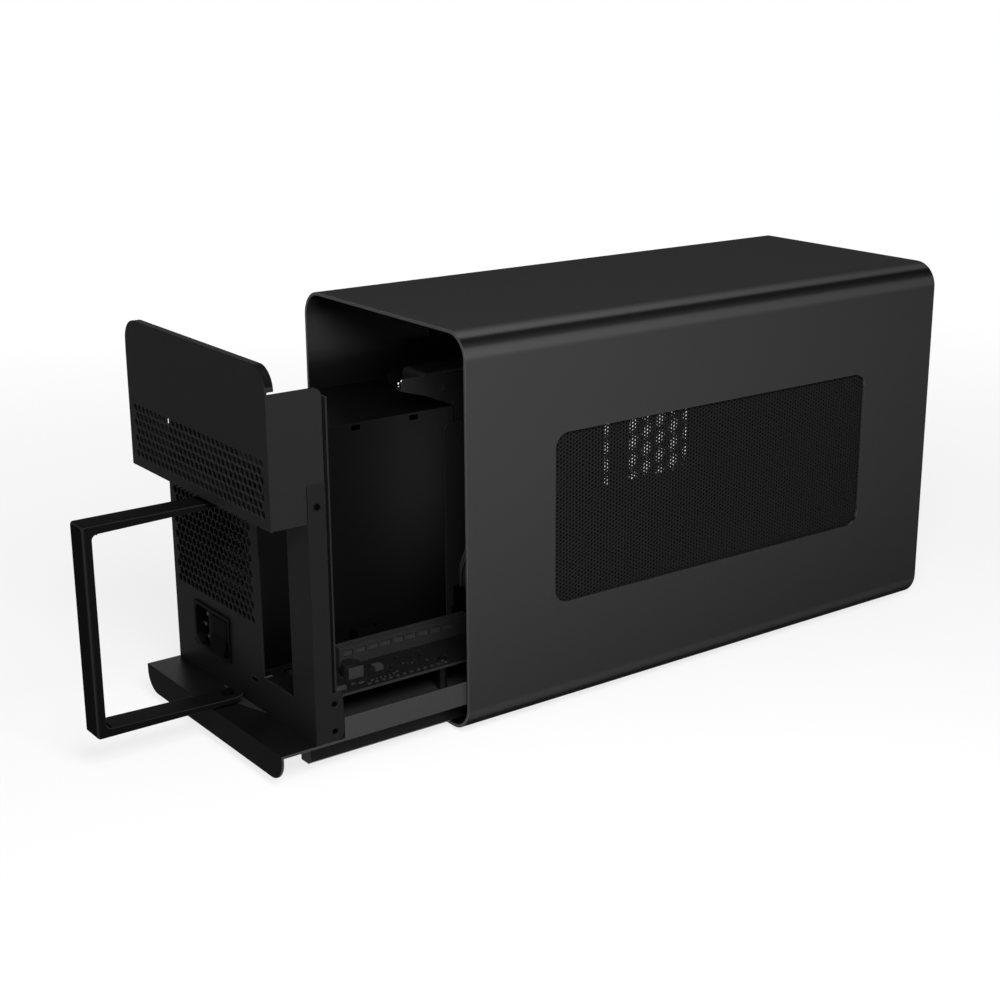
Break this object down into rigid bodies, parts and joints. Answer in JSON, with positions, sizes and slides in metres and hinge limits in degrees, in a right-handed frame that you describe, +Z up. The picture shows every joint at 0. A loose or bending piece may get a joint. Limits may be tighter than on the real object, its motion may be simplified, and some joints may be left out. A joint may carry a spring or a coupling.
{
  "type": "pcie expansion chassis",
  "caption": "Black metal tube housing with meshed side windows, and a sliding rear tray that holds a power supply, a card slot board and a fan, with a fold-out handle.",
  "frame": {"origin": "on the floor under the middle of the sleeve's own footprint, at the plane of the feet", "axes": "+Y along the sleeve towards the service end, +Z up, +X towards the power supply's side"},
  "size_m": [0.168, 0.561, 0.232],
  "materials": {
    "black_coat": "satin black powder coat on sheet metal",
    "black_steel": "thin matt black paint on sheet steel",
    "bright_steel": "zinc or nickel plated steel",
    "black_plastic": "moulded black plastic, matt",
    "switch_plastic": "moulded black plastic, slightly glossy",
    "rubber": "black rubber",
    "board": "dark solder mask on a glass fibre board",
    "pale_plastic": "pale moulded bodies of small board parts"
  },
  "bodies": {
    "shell": {"sleeve": "black_coat", "mesh_near": "black_steel", "mesh_far": "black_steel", "front_panel": "black_coat", "front_screws": "bright_steel", "feet": "rubber", "guide_pad": "rubber"},
    "tray": {"tray_base": "black_coat", "rail_near": "black_coat", "rail_far": "black_coat", "rear_wall": "black_coat", "corner_post": "black_coat", "side_wall": "black_coat", "cover": "black_coat", "rivets": "bright_steel", "tab_screws": "bright_steel", "handle_pivots": "bright_steel", "psu_case": "black_steel", "psu_cover": "black_steel", "psu_guard": "bright_steel", "psu_fan": "black_plastic", "psu_grommet": "rubber", "inlet_bezel": "black_plastic", "inlet_pins": "bright_steel", "divider": "black_coat", "psu_strip": "black_coat", "case_fan": "black_plastic", "fan_screws": "bright_steel", "board": "board", "standoffs": "bright_steel", "board_screws": "bright_steel", "card_slot": "black_plastic", "usb_port": "bright_steel", "usb_tongue": "black_plastic", "aux_socket": "black_plastic", "heatsink": "bright_steel", "capacitor": "black_plastic", "choke": "black_plastic", "header": "pale_plastic", "edge_parts": "pale_plastic", "power_socket": "black_plastic", "power_plug": "black_plastic", "cable_left": "rubber", "cable_right": "rubber"},
    "handle": {"handle": "black_coat"},
    "rocker": {"rocker": "switch_plastic"},
    "case_rotor": {"case_rotor": "black_plastic"},
    "psu_rotor": {"psu_rotor": "black_plastic"},
    "slot_latch": {"slot_latch": "black_plastic"}
  },
  "joints": [
    {"name": "tray_slide", "type": "slide", "parent": "shell", "child": "tray", "axis": [0, 1, 0], "range_m": [-0.1175, 0.2]},
    {"name": "handle_swing", "type": "hinge", "parent": "tray", "child": "handle", "pos_m": [0.001, 0.2925, 0.082], "axis": [0, 0, 1], "range_deg": [0, 90]},
    {"name": "rocker_tilt", "type": "hinge", "parent": "tray", "child": "rocker", "pos_m": [0.0244, 0.2822, 0.051], "axis": [1, 0, 0], "range_deg": [-14, 0]},
    {"name": "case_fan_spin", "type": "hinge", "parent": "tray", "child": "case_rotor", "pos_m": [0.067, 0.061, 0.116], "axis": [1, 0, 0], "continuous": true},
    {"name": "psu_fan_spin", "type": "hinge", "parent": "tray", "child": "psu_rotor", "pos_m": [0.0658, 0.2072, 0.0963], "axis": [1, 0, 0], "continuous": true},
    {"name": "latch_swing", "type": "hinge", "parent": "tray", "child": "slot_latch", "pos_m": [-0.02575, 0.14515, 0.04135], "axis": [1, 0, 0], "range_deg": [0, 25]}
  ]
}
